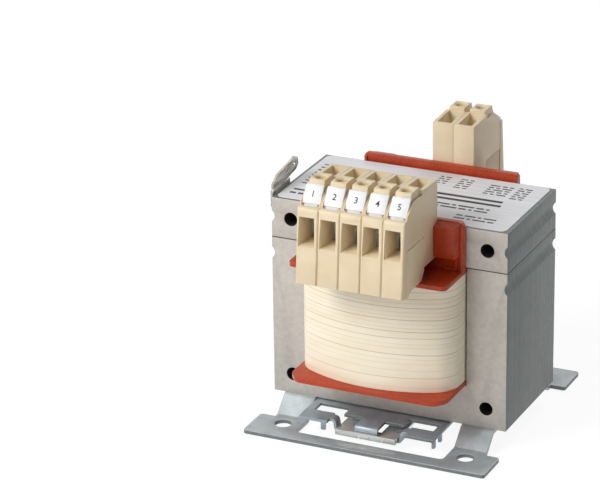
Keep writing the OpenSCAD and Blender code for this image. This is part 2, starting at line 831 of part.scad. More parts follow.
// Clip plate under the core: windows, a tongue, and a bridge that the latch slides in
module rail_clip_plate() {
    plate_back = rail_edge + 1;
    mid_z = clip_top - clip_t / 2;
    hook = sheet([[rail_edge - 4, mid_z], [rail_edge + 0.8, mid_z],
                  [rail_edge + 0.8, clip_under - rail_t - 0.2 - clip_t / 2],
                  [rail_edge - hook_grip, clip_under - rail_t - 0.2 - clip_t / 2]], clip_t, bend_r);
    // Front edge of the tongue, bent down over the latch
    tongue = sheet([[clip_front + 5, mid_z], [clip_front + lip_set + clip_t / 2, mid_z],
                    [clip_front + lip_set + clip_t / 2, lip_low]], clip_t, bend_r);
    ear = sheet([[-bridge_half - ear_run - 1.5, mid_z], [-bridge_half - ear_run / 2, mid_z],
                 [-bridge_half - clip_t / 2, bridge_top - clip_t / 2],
                 [bridge_half + clip_t / 2, bridge_top - clip_t / 2],
                 [bridge_half + ear_run / 2, mid_z], [bridge_half + ear_run + 1.5, mid_z]], clip_t, bend_r);
    color("#8a97a0")
        translate([clip_mid, 0, 0])
            difference() {
                union() {
                    difference() {
                        translate([-clip_half, clip_front, clip_under])
                            cube([2 * clip_half, rail_edge - 1 - clip_front, clip_t]);
                        // Notches on both sides of the tongue, over the latch
                        mirrored_x()
                            translate([tongue_tab_w / 2, clip_front - over, clip_under - over])
                                cube([bridge_half + ear_run + 0.6 - tongue_tab_w / 2,
                                      notch_back - clip_front + over, clip_t + 2 * over]);
                        translate([-tongue_tab_w, clip_front - over, clip_under - over])
                            cube([2 * tongue_tab_w, over + 3, clip_t + 2 * over]);
                        mirrored_x()
                            translate([window_inner, window_y0, clip_under - over])
                                cube([clip_half - clip_rim - window_inner, window_len, clip_t + 2 * over]);
                    }
                    for (sx = [-1, 1])
                        translate([sx * hook_mid, 0, 0])
                            along_x(hook_w, hook);
                    translate([0, bridge_front + bridge_len, 0])
                        rotate([90, 0, 0])
                            linear_extrude(bridge_len)
                                polygon(ear);
                    clip_prongs();
                    along_x(tongue_tab_w, tongue);
                    // Weld projections under the core
                    for (x = [-clip_half * 0.7, 0, clip_half * 0.7], y = [-half_depth + 4, 10])
                        translate([x, y, clip_top - 0.02])
                            cylinder(d = 3, h = clip_standoff + 0.02);
                    // Seat of the latch's spring, and the stops for the rail's front edge
                    translate([-1.2, spring_seat_y - 0.5, clip_under - 3])
                        cube([2.4, 1, 3.2]);
                    for (sx = [-1, 1])
                        translate([sx * (clip_half - 3) - 2, -rail_edge - 1.2, clip_under - rail_t])
                            cube([4, 1, rail_t + 0.2]);
                }
            }
}

// Short prongs bent down from the clip plate's front edge and right edge
module clip_prongs() {
    drop = 2.6;
    translate([-clip_half + 8, clip_front, clip_under - drop])
        cube([1.6, clip_t, drop + 0.2]);
    for (y = [clip_front + 1, clip_front + 6.4])
        translate([clip_half - clip_t, y, clip_under - drop])
            cube([clip_t, 1.6, drop + 0.2]);
}

// Spring-steel latch: a flat slide with a folded lip at the front
module rail_latch() {
    lip = latch_front + latch_t / 2;
    section = sheet([[latch_nose, latch_z], [lip + hem_width, latch_z],
                     [lip + hem_width, latch_z - hem_depth], [lip, latch_z - hem_depth],
                     [lip, latch_z + 0.8]], latch_t, 0.5);
    color("#c2c4c0")
        translate([clip_mid, 0, 0])
            difference() {
                along_x(latch_w, section);
                translate([-tongue_tab_w / 2 - 0.2, lip + hem_width + 0.8, latch_z - 2])
                    cube([tongue_tab_w + 0.4, spring_slot_y - lip - hem_width - 0.8, 4]);
            }
}

// Ring of points around the spring's wire at turn t
function spring_ring(t) =
    let (y0 = spring_seat_y + 0.5 + spring_wire / 2, y1 = spring_slot_y - spring_wire / 2)
    let (y = y0 + (y1 - y0) * t / spring_coils, a = 360 * t)
    [for (k = [0:spring_sides - 1])
        let (b = 360 * k / spring_sides, r = (spring_d - spring_wire) / 2 + spring_wire / 2 * cos(b))
        [r * cos(a), y + spring_wire / 2 * sin(b), r * sin(a)]];

module latch_spring() {
    rings = spring_coils * spring_steps;
    n = spring_sides;
    points = [for (i = [0:rings]) each spring_ring(i / spring_steps)];
    walls = [for (i = [0:rings - 1], k = [0:n - 1])
        [i * n + k, i * n + (k + 1) % n, (i + 1) * n + (k + 1) % n, (i + 1) * n + k]];
    caps = [[for (k = [n - 1:-1:0]) k], [for (k = [0:n - 1]) rings * n + k]];
    color("#8f9294")
        translate([clip_mid, 0, latch_z])
            polyhedron(points, concat(walls, caps), convexity = 10);
}

core_e_stack();
core_i_stack();
bobbin();
primary_winding();
winding_insulation();
secondary_winding();
outer_tape();
winding_leads();
rating_label();
earth_tab();
foot_bracket();
rail_clip_plate();
rail_latch();
latch_spring();
for (i = [1:front_count]) {
    at_front(i) terminal_housing();
    at_front(i) marker_tag();
    at_front(i) contact_bar();
    at_front(i) clamp_screw();
    at_front(i) clamp_cage();
}
for (i = [1:rear_count]) {
    at_rear(i) terminal_housing();
    at_rear(i) contact_bar();
    at_rear(i) clamp_screw();
    at_rear(i) clamp_cage();
}
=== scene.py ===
"""Dresses the single-phase transformer: finishes, tape, print, threads, spring and studio."""

import json
import math

import bpy
from mathutils import Matrix, Quaternion, Vector

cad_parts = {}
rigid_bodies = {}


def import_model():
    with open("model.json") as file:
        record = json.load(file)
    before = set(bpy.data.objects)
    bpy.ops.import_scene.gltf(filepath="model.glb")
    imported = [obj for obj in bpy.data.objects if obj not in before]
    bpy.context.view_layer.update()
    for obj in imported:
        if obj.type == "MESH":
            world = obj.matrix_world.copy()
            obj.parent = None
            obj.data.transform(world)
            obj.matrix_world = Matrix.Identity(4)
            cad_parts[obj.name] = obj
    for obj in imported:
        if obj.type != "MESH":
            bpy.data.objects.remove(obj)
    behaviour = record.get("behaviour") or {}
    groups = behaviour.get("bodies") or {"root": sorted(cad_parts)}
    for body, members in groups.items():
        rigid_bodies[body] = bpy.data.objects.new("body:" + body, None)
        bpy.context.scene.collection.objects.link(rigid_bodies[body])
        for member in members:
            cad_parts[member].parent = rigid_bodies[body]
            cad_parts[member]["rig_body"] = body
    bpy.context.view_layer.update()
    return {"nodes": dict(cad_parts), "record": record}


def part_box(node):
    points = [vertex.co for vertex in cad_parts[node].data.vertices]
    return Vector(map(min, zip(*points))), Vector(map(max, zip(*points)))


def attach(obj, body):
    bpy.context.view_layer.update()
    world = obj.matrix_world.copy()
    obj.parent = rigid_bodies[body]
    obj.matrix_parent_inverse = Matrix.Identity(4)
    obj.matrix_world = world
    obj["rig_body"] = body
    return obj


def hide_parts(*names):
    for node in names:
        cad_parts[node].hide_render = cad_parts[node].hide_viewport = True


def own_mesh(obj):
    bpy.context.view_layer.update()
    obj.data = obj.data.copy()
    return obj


bl_info = {
    "name": "Transformer dressing",
    "version": (1, 0, 0),
    "blender": (4, 5, 0),
    "location": "3D View > Sidebar > Transformer",
    "description": "Finishes and fine pieces of a rail-mounted single-phase transformer",
    "category": "Object",
}

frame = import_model()
NODES = frame["nodes"]
SLOT_OF = {s["node"]: s["material_slot"] for s in frame["record"]["subparts"]}
MM = 0.001
# Points that lie closer than this are one point in a copy of a CAD node
MERGE_GAP = 0.002 * MM
# A cut takes in a piece's own points only where they lie closer to it than this
CUT_GAP = 0.0001 * MM
# Edges sharper than the first angle are rounded; those sharper than the second look sharp
ROUNDED_DEG, SMOOTH_DEG = 35, 32
# Lowest corner of the lower core stack, highest corner of the upper one, and their joint
CORE_LOW, CORE_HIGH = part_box("core_e_stack")[0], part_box("core_i_stack")[1]
JOINT_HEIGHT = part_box("core_i_stack")[0].z
# Bores and window lie further inside the core's outline than this
CORE_MARGIN = 2.4 * MM
# Thickness of print, corner radius of the label's marks, and a number's height over its tag
INK_THICKNESS, MARK_CORNER, NUMBER_LIFT = 0.02 * MM, 0.18 * MM, 0.03 * MM
# Gap between the dashes of a row, in mm
DASH_GAP_MM = 0.8
# Clamp screw: radius over its thread, length of the thread, and by the pitch, how deep the
# thread is and how much of it is half of the flat crest
SCREW_RADIUS, THREAD_LENGTH, THREAD_DEPTH, HALF_CREST = 1.5 * MM, 5.6 * MM, 0.61, 0.06
# Solder on a bar's tail: half of the tail's thickness, and how far below the tail's end the
# solder's middle and its foot lie
HALF_TAIL, SOLDER_MIDDLE, SOLDER_FOOT = 0.25 * MM, 2.2 * MM, 3.1 * MM
# White paper's own glow and its share of what is seen, and the world's fill on the object
PAPER_GLOW, PAPER_SHARE, SOFT_FILL = 1.12, 0.8, 0.18
# Photograph's frame, and where the object's middle lies in it
PHOTO_SIZE, PHOTO_MIDDLE = (600, 500), (414, 282)
SENSOR_WIDTH = 36


def named(*starts):
    """Names of the CAD nodes that begin with one of the starts, in order."""
    return sorted(node for node in NODES if node.startswith(starts))


# Materials


def linear(hex_colour):
    """A colour written as sRGB hex, as Blender's linear RGBA."""
    parts = [int(hex_colour[i : i + 2], 16) / 255 for i in (1, 3, 5)]
    return [c / 12.92 if c <= 0.04045 else ((c + 0.055) / 1.055) ** 2.4 for c in parts] + [1]


def darker(colour, shares):
    """A colour at a share of its red, of its green and of its blue."""
    return [part * share for part, share in zip(colour, shares)] + [1]


def per_mm(size_mm):
    """Scale of a pattern whose features are about size_mm across."""
    return 1 / (size_mm * MM)


def ridge_scale(pitch_mm):
    """Scale of a Wave node whose ridges lie pitch_mm apart: it turns 20 radians in one unit."""
    return 2 * math.pi / (20 * pitch_mm * MM)


def plug(node, sockets):
    """Gives a node's inputs their values, or links them to another node's output."""
    for key, value in dict(sockets).items():
        if isinstance(value, bpy.types.NodeSocket):
            node.id_data.links.new(value, node.inputs[key])
        else:
            node.inputs[key].default_value = value


def add(tree, kind, sockets=(), out=0, **settings):
    """Adds a node with its settings and links, and gives one of its outputs."""
    made = tree.nodes.new("ShaderNode" + kind)
    for key, value in settings.items():
        setattr(made, key, value)
    plug(made, sockets)
    return made.outputs[out]


def new_finish(name, **sockets):
    """A new material with its tree, its shader and its Object coordinates."""
    made = bpy.data.materials.new(name)
    made.use_nodes = True
    tree = made.node_tree
    shader = tree.nodes["Principled BSDF"]
    plug(shader, {key.replace("_", " "): value for key, value in sockets.items()})
    return made, tree, shader, add(tree, "TexCoord", out="Object")


# Noise as soft clouds, as an even grain and as a rich one
SOFT, EVEN, RICH = ({"Detail": detail, "Roughness": 0.6} for detail in (2, 3, 4))
# A Mix node's inputs are 2 and 3 for two numbers, 6 and 7 for two colours; its colour comes out
# of output 2. A MapRange node's are the value, its two ends, and the results at those ends.


def moulded_plastic(name, colour, shade, roughness, ior=1.5):
    """Injection-moulded plastic: spark-eroded skin of about 0.3 mm, faint flow clouds."""
    made, tree, shader, place = new_finish(name, IOR=ior)
    clouds = add(tree, "TexNoise", {"Vector": place, "Scale": per_mm(9), **SOFT})
    cloudy = add(tree, "MapRange", {0: clouds, 1: 0.35, 2: 0.7})
    skin = add(tree, "TexNoise", {"Vector": place, "Scale": per_mm(0.35), **SOFT})
    plug(shader, {
        "Base Color": add(tree, "Mix", {0: cloudy, 6: darker(colour, shade), 7: colour}, out=2,
                          data_type="RGBA"),
        "Roughness": add(tree, "MapRange", {0: skin, 1: 0.2, 2: 0.8, 3: roughness - 0.06,
                                            4: roughness + 0.08}),
        "Normal": add(tree, "Bump", {"Height": skin, "Distance": 0.02 * MM, "Strength": 0.35}),
    })
    return made


def lamination_steel(colour, cut_and_shade_colour):
    """Varnished electrical sheet: smooth warm grey faces; cut edges round the stack darker, partly
    as painted shade.
    """
    made, tree, shader, place = new_finish("varnished electrical sheet", Metallic=0.35)
    normal = add(tree, "TexCoord", out="Normal")
    facing = add(tree, "Math", {0: add(tree, "SeparateXYZ", {0: normal}, out=1)},
                 operation="ABSOLUTE")
    flat = add(tree, "MapRange", {0: facing, 1: 0.5, 2: 0.8})
    mottle = add(tree, "TexNoise", {"Vector": place, "Scale": per_mm(1.6), **RICH})
    mottled = add(tree, "MapRange", {0: mottle, 1: 0.3, 2: 0.72})
    rolled = add(tree, "Mix", {0: mottled, 6: darker(colour, (0.83, 0.82, 0.82)), 7: colour},
                 out=2, data_type="RGBA")
    # Sheets are 0.5 mm thick; they are drawn in bundles of 1.3 mm to show at this distance
    depth = add(tree, "Math", {0: add(tree, "SeparateXYZ", {0: place}, out=1), 1: per_mm(1.3)},
                operation="MULTIPLY")
    sheets = add(tree, "TexNoise", {"W": depth, "Scale": 1, "Detail": 3, "Roughness": 0.75},
                 noise_dimensions="1D")
    stains = add(tree, "TexNoise", {"Vector": place, "Scale": per_mm(14), **RICH})
    edge_tone = add(tree, "Mix", {0: 0.3, 2: sheets, 3: stains})
    streaked = add(tree, "MapRange", {0: edge_tone, 1: 0.33, 2: 0.68})
    # Cut edges are darker partly in their own grey and partly as painted shade on the core's sides
    cut_edges_and_shade = add(tree, "Mix", {0: streaked, 6: darker(cut_and_shade_colour, (0.62, 0.63, 0.63)),
                                  7: cut_and_shade_colour}, out=2, data_type="RGBA")
    both = add(tree, "Mix", {0: flat, 6: cut_edges_and_shade, 7: rolled}, out=2, data_type="RGBA")
    # The joint between the two stacks shows as a thin dark line
    above = add(tree, "Math", {0: add(tree, "SeparateXYZ", {0: place}, out=2), 1: JOINT_HEIGHT},
                operation="SUBTRACT")
    away = add(tree, "MapRange", {0: add(tree, "Math", {0: above}, operation="ABSOLUTE"),
                                  1: 0.1 * MM, 2: 0.25 * MM})
    # Only the cut edges are ribbed by the sheets
    cut_share = add(tree, "Math", {0: 1, 1: flat}, operation="SUBTRACT")
    ribbed = add(tree, "Math", {0: sheets, 1: cut_share}, operation="MULTIPLY")
    height = add(tree, "Math", {0: mottle, 1: 0.1, 2: ribbed}, operation="MULTIPLY_ADD")
    plug(shader, {
        "Base Color": add(tree, "Mix", {0: away, 6: linear("#3b3a38"), 7: both}, out=2,
                          data_type="RGBA"),
        "Roughness": add(tree, "MapRange", {0: mottle, 1: 0.2, 2: 0.8, 3: 0.44, 4: 0.6}),
        "Normal": add(tree, "Bump", {"Height": height, "Distance": 0.1 * MM, "Strength": 0.5}),
    })
    return made


def bore_varnish():
    """Painted shade in the bores and the window: near black, with a slight gloss."""
    made, tree, shader, place = new_finish("painted shade in core bores", Roughness=0.5)
    along_bore = add(tree, "Mapping", {"Vector": place, "Scale": (1, 0.3, 1)})
    bore_shade_mottle = add(tree, "TexNoise", {"Vector": along_bore, "Scale": per_mm(2.5), **EVEN})
    share = add(tree, "MapRange", {0: bore_shade_mottle, 1: 0.3, 2: 0.7})
    plug(shader, {"Base Color": add(tree, "Mix", {0: share, 6: linear("#1c1b1a"),
                                                  7: linear("#33312e")}, out=2, data_type="RGBA")})
    return made


def rolled_metal(name, colour, shade, roughness, streak=(1, 1, 1), size_mm=3.0, metallic=0.85):
    """Bare or plated sheet metal with fine streaks along the way it was rolled or drawn."""
    made, tree, shader, place = new_finish(name, Metallic=metallic)
    drawn = add(tree, "Mapping", {"Vector": place, "Scale": streak})
    streaks = add(tree, "TexNoise", {"Vector": drawn, "Scale": per_mm(size_mm), "Detail": 5,
                                     "Roughness": 0.7})
    share = add(tree, "MapRange", {0: streaks, 1: 0.3, 2: 0.72})
    # Rolling marks are an eighth of the streaks, and no finer than 0.3 mm so that they show
    marks = add(tree, "TexNoise", {"Vector": drawn, "Scale": per_mm(max(size_mm / 8, 0.3)), **EVEN})
    plug(shader, {
        "Base Color": add(tree, "Mix", {0: share, 6: darker(colour, shade), 7: colour}, out=2,
                          data_type="RGBA"),
        "Roughness": add(tree, "MapRange", {0: streaks, 1: 0.2, 2: 0.8, 3: roughness - 0.08,
                                            4: roughness + 0.1}),
        "Normal": add(tree, "Bump", {"Height": marks, "Distance": 0.02 * MM, "Strength": 0.4}),
    })
    return made


def galvanised_steel(colour):
    """Galvanised sheet: smooth dull grey zinc, its crystals just visible as soft patches."""
    made, tree, shader, place = new_finish("galvanised sheet steel", Metallic=0.35)
    crystals = add(tree, "TexVoronoi", {"Vector": place, "Scale": per_mm(5)}, out="Color")
    flake = add(tree, "SeparateXYZ", {0: crystals})
    bloom = add(tree, "TexNoise", {"Vector": place, "Scale": per_mm(3.5), **EVEN})
    tone = add(tree, "Mix", {0: 0.85, 2: flake, 3: bloom})
    share = add(tree, "MapRange", {0: tone, 1: 0.25, 2: 0.75})
    plug(shader, {
        "Base Color": add(tree, "Mix", {0: share, 6: darker(colour, (0.73, 0.75, 0.76)),
                                        7: colour}, out=2, data_type="RGBA"),
        "Roughness": add(tree, "MapRange", {0: tone, 1: 0.2, 2: 0.8, 3: 0.36, 4: 0.48}),
        "Normal": add(tree, "Bump", {"Height": bloom, "Distance": 0.02 * MM, "Strength": 0.3}),
    })
    return made


def tape_finish(colour, line_and_shadow_colour):
    """Polyester winding tape: satin cream film, thin brown line at each lap, partly painted shadow.
    """
    made, tree, shader, place = new_finish("polyester winding tape", IOR=1.55)
    wound = add(tree, "Mapping", {"Vector": place, "Scale": (0.5, 0.5, 2.5)})
    clouds = add(tree, "TexNoise", {"Vector": wound, "Scale": per_mm(9), **EVEN})
    cloudy = add(tree, "MapRange", {0: clouds, 1: 0.3, 2: 0.7})
    film = add(tree, "Mix", {0: cloudy, 6: darker(colour, (0.94, 0.91, 0.82)), 7: colour}, out=2,
               data_type="RGBA")
    lap = add(tree, "Attribute", out="Fac", attribute_name="lap")
    # Warp threads are 0.3 mm apart; they are drawn 0.9 mm apart to show as a faint wave
    warp = add(tree, "TexWave", {"Vector": place, "Scale": ridge_scale(0.9), "Distortion": 1.2},
               out="Fac", bands_direction="Z")
    plug(shader, {
        "Base Color": add(tree, "Mix", {0: lap, 6: film, 7: line_and_shadow_colour}, out=2, data_type="RGBA"),
        "Roughness": add(tree, "MapRange", {0: clouds, 1: 0.2, 2: 0.8, 3: 0.3, 4: 0.42}),
        "Normal": add(tree, "Bump", {"Height": warp, "Distance": 0.02 * MM, "Strength": 0.2}),
    })
    return made


def enamelled_copper(name, wire_mm, colour, shade):
    """Layer of enamelled wire: turns side by side, one wire's thickness apart, with painted shade
    between them.
    """
    made, tree, shader, place = new_finish(name, Metallic=0.8, Roughness=0.28)
    turns = add(tree, "TexWave", {"Vector": place, "Scale": ridge_scale(wire_mm)}, out="Fac",
                bands_direction="Z")
    # The colour follows the bump, darker in the grooves: painted shade between the wires
    plug(shader, {
        "Base Color": add(tree, "Mix", {0: turns, 6: darker(colour, shade), 7: colour}, out=2,
                          data_type="RGBA"),
        "Normal": add(tree, "Bump", {"Height": turns, "Distance": wire_mm / 2 * MM,
                                     "Strength": 0.8}),
    })
    return made


def printed_ink():
    """Black thermal-transfer print: nearly matt, thinner where the ribbon missed a grain."""
    made, tree, shader, place = new_finish("black thermal print", Roughness=0.6)
    grains = add(tree, "TexNoise", {"Vector": place, "Scale": per_mm(0.3), **SOFT})
    wear = add(tree, "MapRange", {0: grains, 1: 0.5, 2: 0.75})
    plug(shader, {"Base Color": add(tree, "Mix", {0: wear, 6: linear("#151515"),
                                                  7: linear("#2e2e2e")}, out=2, data_type="RGBA")})
    return made


def label_film(colour):
    """White polyester label: smooth film over the stack's cut edges, which show through faintly."""
    made, tree, shader, place = new_finish("white polyester label", Roughness=0.35, IOR=1.5)
    along_sheets = add(tree, "Mapping", {"Vector": place, "Scale": (0.08, 1, 1)})
    ripple = add(tree, "TexNoise", {"Vector": along_sheets, "Scale": per_mm(1.4), **EVEN})
    share = add(tree, "MapRange", {0: ripple, 1: 0.3, 2: 0.7})
    plug(shader, {
        "Base Color": add(tree, "Mix", {0: share, 6: darker(colour, (0.86, 0.87, 0.88)),
                                        7: colour}, out=2, data_type="RGBA"),
        "Normal": add(tree, "Bump", {"Height": ripple, "Distance": 0.04 * MM, "Strength": 0.4}),
    })
    return made


def make_finishes(colours):
    """All finishes by the record's slot; four more: painted bore shade, bare edges, print, solder.
    """
    own = {name: [*getattr(colours, name), 1] for name in TransformerColours.__annotations__}
    even, lengthwise, upright = (1, 1, 1), (1, 0.2, 1), (1, 1, 0.3)
    return {
        "core_steel": lamination_steel(own["core"], own["core_edge"]),
        # Near-black painted shade for the bores and the window
        "bore_varnish": bore_varnish(),
        # Glass filler leaves the red-brown moulding glossy and a little cloudy
        "bobbin_plastic": moulded_plastic("glass-filled polyester", own["bobbin"],
                                          (0.8, 0.73, 0.72), 0.28, ior=1.4),
        # Satin beige, a little yellower where the melt met
        "terminal_plastic": moulded_plastic("beige polyamide", own["terminal"],
                                            (0.94, 0.92, 0.86), 0.42),
        # Cold, even white, on which the numbers stand out
        "marker_plastic": moulded_plastic("white polyamide", own["marker"], (0.91, 0.91, 0.92),
                                          0.4),
        # Yellowish sheet between the two windings
        "insulation_film": moulded_plastic("insulating film", linear("#e8dcae"),
                                           (0.89, 0.83, 0.68), 0.35),
        "winding_tape": tape_finish(own["tape"], own["tape_line"]),
        "label_film": label_film(own["label"]),
        "label_print": printed_ink(),
        "galvanised_steel": galvanised_steel(own["bracket"]),
        # Sheared steel with no zinc on it: darker and rougher than the sheet's faces
        "cut_edge": rolled_metal("punched edge of zinc-plated sheet", own["bare_edge"],
                                 (0.63, 0.63, 0.64), 0.45, upright, 0.8, metallic=0.3),
        # Bluish zinc, softly streaked along the strip
        "clip_steel": rolled_metal("zinc-plated sheet steel", own["clip"], (0.68, 0.72, 0.74),
                                   0.34, (1, 0.4, 1), metallic=0.25),
        # Bright and nearly even, so that the lamps lie on it as broad patches
        "spring_steel": rolled_metal("bright spring steel", own["latch"], (0.86, 0.86, 0.86), 0.26,
                                     even, 12, metallic=0.55),
        # Silvery tin with dark wipe marks along the blade
        "tinned_brass": rolled_metal("tinned brass", own["earth_tab"], (0.25, 0.25, 0.24), 0.26,
                                     (1, 0.16, 1), 1.6),
        # Grey wire, streaked by the die
        "spring_wire": rolled_metal("drawn spring wire", linear("#a3a6a8"), (0.43, 0.44, 0.45),
                                    0.3, even, 0.6),
        # Warm yellow bar, seen deep in the wire entries
        "contact_brass": rolled_metal("rolled brass", linear("#d9b45c"), (0.57, 0.5, 0.32), 0.3,
                                      lengthwise, 1.5),
        # Pale blue-white zinc of small turned and pressed pieces
        "screw_steel": rolled_metal("zinc-plated screw steel", linear("#c9cdd0"),
                                    (0.55, 0.57, 0.58), 0.3, even, 1),
        "cage_steel": rolled_metal("zinc-plated cage steel", linear("#c0c5c8"),
                                   (0.52, 0.54, 0.55), 0.35, upright, 1),
        # Shiny grey fillet with dull patches where it froze last
        "solder": rolled_metal("solder", linear("#d8dadb"), (0.53, 0.54, 0.55), 0.22, even, 0.8),
        "winding_copper": enamelled_copper("enamelled winding wire", 0.8, linear("#c47a3d"),
                                           (0.35, 0.24, 0.18)),
        "lead_copper": enamelled_copper("enamelled lead wire", 0.4, linear("#c77b35"),
                                        (0.46, 0.32, 0.27)),
    }


FINISH = {}


# Modelling


def select_only(obj):
    """Leaves one object selected and active, in object mode."""
    if bpy.context.object and bpy.context.object.mode != "OBJECT":
        bpy.ops.object.mode_set(mode="OBJECT")
    bpy.ops.object.select_all(action="DESELECT")
    obj.select_set(True)
    bpy.context.view_layer.objects.active = obj


def edit_all(obj):
    """Opens an object in edit mode with all of its mesh selected."""
    select_only(obj)
    bpy.ops.object.mode_set(mode="EDIT")
    bpy.ops.mesh.select_all(action="SELECT")


def apply_place(obj):
    """Puts an object's place into its mesh, so that it sits at the origin."""
    select_only(obj)
    bpy.ops.object.transform_apply(location=True, rotation=True, scale=True)


def apply_modifier(obj, kind, **settings):
    """Adds a modifier with its settings and applies it."""
    modifier = obj.modifiers.new(kind.title(), kind)
    for key, value in settings.items():
        setattr(modifier, key, value)
    select_only(obj)
    bpy.ops.object.modifier_apply(modifier=modifier.name)


def shade(obj, limit_deg):
    """Smooth shading, with edges sharper than the limit left sharp."""
    select_only(obj)
    bpy.ops.object.shade_smooth_by_angle(angle=math.radians(limit_deg))


def paint(obj, slot):
    """Gives a piece one finish all over."""
    obj.data.materials.clear()
    obj.data.materials.append(FINISH[slot])


def hand_over(obj, node, finish=None, stands_for=True):
    """Gives a finished piece the body of a CAD node and the finish of its slot, and lets it stand
    for it.
    """
    paint(obj, finish or SLOT_OF[node])
    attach(obj, NODES[node]["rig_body"])
    if stands_for:
        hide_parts(node)
    return obj


def merged_copy(node, name):
    """Copy of a CAD node as one clean mesh: doubles merged and flat faces joined."""
    obj = bpy.data.objects.new(name, NODES[node].data.copy())
    bpy.context.scene.collection.objects.link(obj)
    select_only(obj)
    bpy.ops.mesh.customdata_custom_splitnormals_clear()
    edit_all(obj)
    bpy.ops.mesh.remove_doubles(threshold=MERGE_GAP)
    bpy.ops.mesh.dissolve_limited(angle_limit=math.radians(0.5))
    bpy.ops.object.mode_set(mode="OBJECT")
    return obj


def copy_at(source, name, place):
    """Copy of a finished shape with a mesh of its own, moved to its place."""
    made = bpy.data.objects.new(name, source.data.copy())
    bpy.context.scene.collection.objects.link(made)
    made.location = place
    apply_place(made)
    return made


def soften(node, name, width, segments=2):
    """Copy of a CAD node with its sharp edges rounded, as a mould, punch or press leaves them."""
    obj = merged_copy(node, name)
    apply_modifier(obj, "BEVEL", width=width, segments=segments, limit_method="ANGLE",
                   angle_limit=math.radians(ROUNDED_DEG), use_clamp_overlap=True,
                   loop_slide=False)
    shade(obj, SMOOTH_DEG)
    return hand_over(obj, node)


def repaint_faces(obj, finish, chosen):
    """Gives the chosen faces of a piece a second finish."""
    obj.data.materials.append(FINISH[finish])
    for face in obj.data.polygons:
        if chosen(face):
            face.material_index = 1


def bare_edges(obj, low, high):
    """Gives the punched edges of a plate that lies between two heights their bare steel."""
    repaint_faces(obj, "cut_edge",
                  lambda face: low < face.center.z < high and abs(face.normal.z) < 0.3)


def cut(obj, point, normal=(0, 0, 1), gap=CUT_GAP, **keep):
    """Cuts a piece through a point, and closes the cut."""
    edit_all(obj)
    bpy.ops.mesh.bisect(plane_co=point, plane_no=normal, use_fill=True, threshold=gap, **keep)
    bpy.ops.object.mode_set(mode="OBJECT")


class TRANSFORMER_OT_finishes(bpy.types.Operator):
    """Makes every finish and gives the CAD pieces theirs"""

    bl_idname = "transformer.finishes"
    bl_label = "Make finishes"
    bl_options = {"REGISTER", "UNDO"}

    def execute(self, context):
        FINISH.update(make_finishes(context.scene.transformer_colours))
        for node, obj in NODES.items():
            paint(obj, SLOT_OF[node])
        return {"FINISHED"}


class TRANSFORMER_OT_core(bpy.types.Operator):
    """Rounds the punched edges of the two lamination stacks and paints shade in their bores"""

    bl_idname = "transformer.core"
    bl_label = "Core"
    bl_options = {"REGISTER", "UNDO"}

    def execute(self, context):
        edge = context.scene.transformer_sizes.sheet_edge
        for node, name in (("core_e_stack", "core_e_sheets"), ("core_i_stack", "core_i_sheets")):
            # Walls of the bores and the window get a near-black painted shade
            repaint_faces(soften(node, name, edge), "bore_varnish", self.is_inside)
        return {"FINISHED"}

    def is_inside(self, face):
        """Whether a face is a wall of a bore or of the window, away from the outline and joint."""
        spot = face.center
        return (CORE_LOW.x + CORE_MARGIN < spot.x < CORE_HIGH.x - CORE_MARGIN
                and CORE_LOW.z + CORE_MARGIN < spot.z < CORE_HIGH.z - CORE_MARGIN
                and abs(spot.z - JOINT_HEIGHT) > 0.3 * MM and abs(face.normal.y) < 0.3)


class TRANSFORMER_OT_bobbin(bpy.types.Operator):
    """Rounds the bobbin's moulded edges"""

    bl_idname = "transformer.bobbin"
    bl_label = "Bobbin"
    bl_options = {"REGISTER", "UNDO"}

    def execute(self, context):
        soften("bobbin", "moulded_bobbin", context.scene.transformer_sizes.bobbin_edge, segments=3)
        return {"FINISHED"}


# Laps of the tape: height above the coil's lower end and rise across X in mm, and how plain it is
LAPS = ((1.6, 0.1, 0.25), (4.9, 0.3, 0.7), (7.7, -0.2, 0.3), (9.9, 0.15, 0.25), (11.6, 0.2, 0.35),
        (13.3, -0.35, 1.0), (15.6, 0.2, 0.3), (17.1, -0.2, 0.35), (19.0, 0.3, 0.8),
        (21.4, -0.15, 1.0), (22.6, 0.15, 0.35), (24.1, -0.1, 0.3), (25.5, 0.2, 1.0),
        (26.9, -0.15, 0.3), (28.2, 0.15, 0.35), (29.9, -0.3, 1.0), (31.4, 0.1, 0.4),
        (32.9, 0.2, 0.8), (35.4, -0.1, 0.7))


